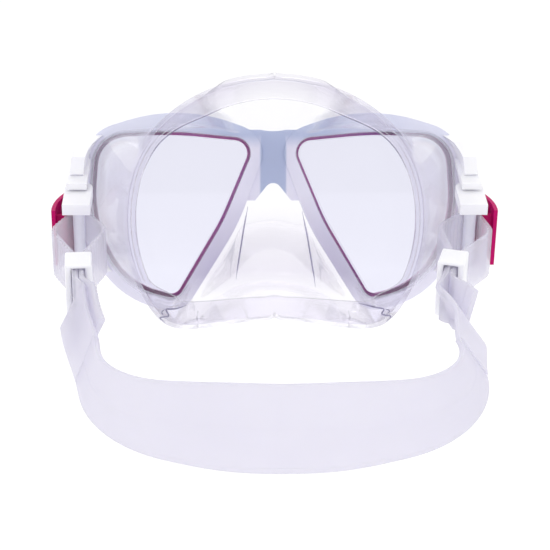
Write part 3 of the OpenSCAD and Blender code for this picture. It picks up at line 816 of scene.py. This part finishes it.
def band_line():
    """Middle line of the strap behind the buckles, from the right side round to the left."""
    back = BACK_R - REACH
    corner = back - math.sqrt((BACK_R - CORNER_R) ** 2 - CORNER_X ** 2)
    right, left = handover("right"), handover("left")
    rounds = [
        (right[0] - FRONT_R, FRONT_R / 2 - right[1], FRONT_R),
        (FRONT_R - left[0], FRONT_R / 2 - left[1], FRONT_R),
        (-CORNER_X, corner, CORNER_R), (0.0, back, BACK_R), (CORNER_X, corner, CORNER_R),
    ]
    steps = 60
    closed = belt(rounds, 0.0, steps)
    line = np.stack([closed[:, 0], -closed[:, 1]], axis=1)
    # The two corners and the back, turned so that they run from the right to the left
    ring = np.roll(line, -2 * (steps + 1), axis=0)[: 3 * (steps + 1)][::-1]
    ends = [np.array([[right[0], right[1] - 1.0]]), np.array([[-left[0], left[1] - 1.0]])]
    return resample(np.concatenate([ends[0], ring, ends[1]]), SPACING)


def loop_line(name):
    """Middle line of one strap end: tail, loop round the roller and main run, outward positive."""
    swell = (0.0, -LOOP_BACK, LOOP_R)
    rounds = [(0.0, -ROLLER_BACK, 2.6), swell, (0.0, -JOIN_BACK, 0.05), swell]
    steps = 40
    closed = belt(rounds, STRAP_T / 2, steps)
    arcs = [closed[k * (steps + 1):(k + 1) * (steps + 1)] for k in range(4)]
    # Counter-clockwise from the lower right: swell, roller, swell
    way = np.concatenate([arcs[3], arcs[0], arcs[1]])
    way = np.stack([way[:, 0], -way[:, 1]], axis=1)
    if MAIN_RUN[name] > 0:
        way = way * np.array([-1, 1])
    side = way[0, 0] / abs(way[0, 0])
    tail = np.array([[side * PLY, ROLLER_BACK + CUT_BACK - 1.5], [side * PLY, JOIN_BACK + 4]])
    run = np.array([[-side * PLY, JOIN_BACK + 4], [-side * PLY, ROLLER_BACK + CUT_BACK - 1.5]])
    line = relax(resample(np.concatenate([tail, way, run]), LOOP_SPACING), 10)
    a = SWING[name]
    x, v = line[:, 0], line[:, 1] - ROLLER_BACK
    turned_back = ROLLER_BACK + x * math.sin(a) + v * math.cos(a)
    return np.stack([x * math.cos(a) - v * math.sin(a), turned_back], axis=1)


def along_rear(line):
    """Distance of each point from the middle of the back, along the strap."""
    at = np.concatenate([[0], np.cumsum(np.linalg.norm(np.diff(line, axis=0), axis=1))])
    return np.abs(at - np.interp(0, -line[:, 0], at))


def lean_at(name, back, reach):
    """How far the strap's upper edge leans towards the head, in radians."""
    near = LEAN_NEAR[name] * smooth((back - LEAN_FROM) / LEAN_OVER)
    later = (LEAN[name] - LEAN_NEAR[name]) * smooth((back - 75) / 20)
    return (near + later) * smooth((reach - 35) / 75)


def sway_at(name, back):
    """How far the leaning strap swings outward behind its keeper."""
    begins = smooth((back - LEAN_FROM - 1) / SWAY_OVER[name])
    return SWAY[name] * begins * smooth((116 - back) / 34)


def width_at(reach):
    return BAND_W - (BAND_W - STRAP_W) * smooth((reach - 10) / 95)


def strap_section(width, out, step):
    """Closed section, as points up and outward, with a shallow groove and step on its outer face."""
    side = width / 2 - EDGE_ROUND
    outer = STRAP_T / 2 + out
    arc = [math.pi / 2 * k / ARC_STEPS for k in range(1, ARC_STEPS)]
    bend = [(EDGE_ROUND * math.sin(t), EDGE_ROUND * math.cos(t)) for t in arc]
    section = []
    for k in range(FACE_STEPS + 1):
        u = -side + 2 * side * k / FACE_STEPS
        groove = float(hump(u, -0.03 * width, 1.4)) + 0.55 * float(smooth(0.5 - u / 1.2))
        section.append((u, outer - step * groove))
    section += [(side + s, outer - EDGE_ROUND + c) for s, c in bend]
    inner_steps = FACE_STEPS // 2
    section += [(side - 2 * side * k / inner_steps, -STRAP_T / 2) for k in range(inner_steps + 1)]
    section += [(-side - s, EDGE_ROUND - STRAP_T / 2 - c) for s, c in bend]
    section += [(-side - c, outer - EDGE_ROUND + s) for s, c in bend]
    return section


def ribbon(name, centre, normal, lean, width, thick_out, step, material):
    """A strap of rounded section: centre and outward normal are in the strap plane (x, back)."""
    rings = []
    for c, n, a, w, out, st in zip(centre, normal, lean, width, thick_out, step):
        up = math.cos(a) * UP_STRAP + math.sin(a) * to_row_direction(n)
        outward = math.cos(a) * to_row_direction(n) - math.sin(a) * UP_STRAP
        origin = to_row(c)
        rings.append([origin + up * u + outward * b for u, b in strap_section(w, out, st)])
    rings = np.array(rings)
    piece = new_piece(name, rings.reshape(-1, 3), tube_faces(*rings.shape[:2]), material)

    def tidy(bm):
        bmesh.ops.remove_doubles(bm, verts=bm.verts, dist=0.000002)
        bmesh.ops.recalc_face_normals(bm, faces=bm.faces)
        for face in bm.faces:
            if len(face.verts) > 4:
                face.smooth = False
                for e in face.edges:
                    e.smooth = False

    edit(piece, tidy)
    return piece


def to_row(p):
    return np.array([p[0], PIVOT[1], PIVOT[2]]) + BACK_STRAP * p[1]


def to_row_direction(n):
    return np.array([n[0], 0.0, 0.0]) + BACK_STRAP * n[1]


def side_normals(line):
    run = np.gradient(line, axis=0)
    n = np.stack([run[:, 1], -run[:, 0]], axis=1)
    return n / np.linalg.norm(n, axis=1)[:, None]


def outward_normals(line, inside):
    n = side_normals(line)
    flip = np.sign(((line - inside) * n).sum(axis=1))
    flip[flip == 0] = 1
    return n * flip[:, None]


def build_straps():
    band = band_line()
    normal = outward_normals(band, np.array([0.0, 60.0]))
    reach = along_rear(band)
    lean_right, lean_left = (lean_at(name, band[:, 1], reach) for name in ("right", "left"))
    lean = np.where(band[:, 0] > 0, lean_right, lean_left)
    width = width_at(reach)
    step = 0.5 * smooth((band[:, 1] - 104) / 20)
    along = (band, normal, lean, width, np.zeros(len(band)), step)
    first, last = np.where(band[:, 1] > SEAM_BACK)[0][[0, -1]]
    piece = ribbon(
        "strap_rear", *(v[first:last + 1] for v in along), MATERIALS["strap_silicone"])
    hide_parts("strap_band")
    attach(piece, "mask")
    for name, side in SIDES.items():
        share = slice(None, first + 1) if side > 0 else slice(None, last - 1, -1)
        part, norm, part_lean, part_width, flat, part_step = (v[share] for v in along)
        part = part + norm * sway_at(name, part[:, 1])[:, None]
        loop = loop_line(name)
        loop_row = loop * np.array([side, 1]) + np.array([side * PIVOT[0], 0])
        loop_row[:, 0] += side * sway_at(name, loop_row[:, 1])
        # The tail lies along the band, inside it on the left and outside it on the right
        parted = smooth((part[:, 1] - LEAN_FROM) / 9)
        plies = 2 * PLY / np.cos(lean_at(name, part[:, 1], AWAY_FROM_REAR))
        away = -MAIN_RUN[name] * (plies + TAIL_APART[name] * parted)
        tail = part + norm * away[:, None]
        tail = tail[(part[:, 1] > loop_row[-1, 1] + 2) & (part[:, 1] < TAIL_BACK[name])]
        tail = tail[np.argsort(-tail[:, 1])]
        loop_row = np.concatenate([tail, loop_row])
        joined = len(tail) + 12
        loop_row[:joined] = relax(loop_row[:joined], 12)
        loop_n = side_normals(loop_row)
        if (loop_n[-1] * norm[0]).sum() < 0:
            loop_n = -loop_n
        at = np.concatenate([[0], np.cumsum(np.linalg.norm(np.diff(loop_row, axis=0), axis=1))])
        # The tail's normals point the other way round, so it leans the other way to stay parallel
        tail_lean = -TAIL_LEAN[name] * smooth((loop_row[:, 1] - LEAN_FROM) / LEAN_OVER)
        run_lean = lean_at(name, loop_row[:, 1], AWAY_FROM_REAR)
        loop_lean = np.where(at < at[-1] / 2, tail_lean, run_lean)
        keep = part[:, 1] > loop_row[-1, 1] + 0.5
        keep[-1] = True
        ribs = -RIB_DEPTH * (0.5 + 0.5 * np.cos(at * math.tau / RIB_PITCH)) ** 2
        ribs *= smooth((at - 2) / 3) * smooth((at[-1] - 12 - at) / 4)
        plain = np.zeros(len(loop_row))
        pairs = (
            (loop_row, part), (loop_n, norm), (loop_lean, part_lean),
            (plain + STRAP_W, part_width), (ribs, flat), (plain, part_step),
        )
        piece = ribbon(
            "strap_side_" + name, *(np.concatenate([a, b[keep]]) for a, b in pairs),
            MATERIALS["strap_silicone"])
        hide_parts("strap_end_" + name)
        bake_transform(piece)


build_straps()

# ---------- floor, light and camera ----------

def build_stage():
    low = CAD_BOX[0][2] / MM - 0.8
    s = Shader("floor_white")
    paper = s.noise(900.0, 4.0)
    body = s.add(
        "BsdfPrincipled", None, Base_Color=(0.12, 0.12, 0.121, 1.0),
        Roughness=0.8, Specular_IOR_Level=0.2, Normal=s.bump(paper, 0.05, 0.0002),
        Emission_Color=(1.0, 1.0, 1.0, 1.0), Emission_Strength=0.9,
    )
    material = s.end(body)
    points, faces = [], []
    width, depth, bend, wall = 3000.0, 1400.0, 500.0, 2400.0
    profile = [(-2600.0, 0.0), (depth - bend, 0.0)]
    profile += [
        (depth - bend + bend * math.sin(t), bend - bend * math.cos(t))
        for t in np.linspace(0, math.pi / 2, 17)[1:]
    ]
    profile.append((depth, wall))
    for y, z in profile:
        points += [(-width, y, low + z), (width, y, low + z)]
    for k in range(len(profile) - 1):
        faces.append((2 * k, 2 * k + 1, 2 * k + 3, 2 * k + 2))
    floor = new_piece("floor", points, faces, material)


def area_light(name, place, target, size, power, colour=(1, 1, 1)):
    data = bpy.data.lights.new(name, "AREA")
    data.shape = "DISK"
    data.size = size
    data.energy = power
    data.color = colour
    light = bpy.data.objects.new(name, data)
    bpy.context.scene.collection.objects.link(light)
    light.location = place
    aim = np.array(target) - np.array(place)
    light.rotation_euler = bpy_vector(aim).to_track_quat("-Z", "Y").to_euler()
    return light


def build_light():
    world = bpy.data.worlds.new("studio")
    bpy.context.scene.world = world
    world.use_nodes = True
    tree = world.node_tree
    sky = tree.nodes["Background"]
    sky.inputs["Color"].default_value = (1.0, 1.0, 1.0, 1.0)
    # Reflections see a white room; everything else gets a softer light
    ray = tree.nodes.new("ShaderNodeLightPath")
    level = tree.nodes.new("ShaderNodeMapRange")
    level.inputs["To Min"].default_value = 0.8
    level.inputs["To Max"].default_value = 1.05
    tree.links.new(ray.outputs["Is Glossy Ray"], level.inputs["Value"])
    tree.links.new(level.outputs["Result"], sky.inputs["Strength"])
    area_light("key", (-0.7, -0.9, 0.9), (0, 0, -0.03), 0.8, 2.6)
    area_light("fill", (0.9, -0.8, 0.3), (0, 0, -0.03), 0.9, 1.0)
    area_light("top", (0.0, 0.15, 1.1), (0, 0, -0.03), 0.9, 1.5)
    area_light("back", (0.0, 1.0, 0.35), (0, 0, -0.03), 1.0, 1.4)


def build_camera():
    distance = 750.0
    pixels = 1751.0
    frame_side = 550.0
    azimuth, elevation = math.radians(-1.5), math.radians(4.0)
    target = np.array([0.0, -5.0, LENS_Z - 26.0])
    back = np.array([
        math.sin(azimuth) * math.cos(elevation),
        -math.cos(azimuth) * math.cos(elevation),
        math.sin(elevation),
    ])
    data = bpy.data.cameras.new("camera")
    data.sensor_width = 36.0
    data.lens = data.sensor_width * pixels / frame_side
    data.clip_start = 0.01
    data.shift_x = 2.0 / frame_side
    camera = bpy.data.objects.new("camera", data)
    bpy.context.scene.collection.objects.link(camera)
    camera.location = bpy_vector((target + back * distance) * MM)
    camera.rotation_euler = bpy_vector(-back).to_track_quat("-Z", "Y").to_euler()
    bpy.context.scene.camera = camera


build_stage()
build_light()
build_camera()
bpy.context.scene.view_settings.view_transform = "Standard"
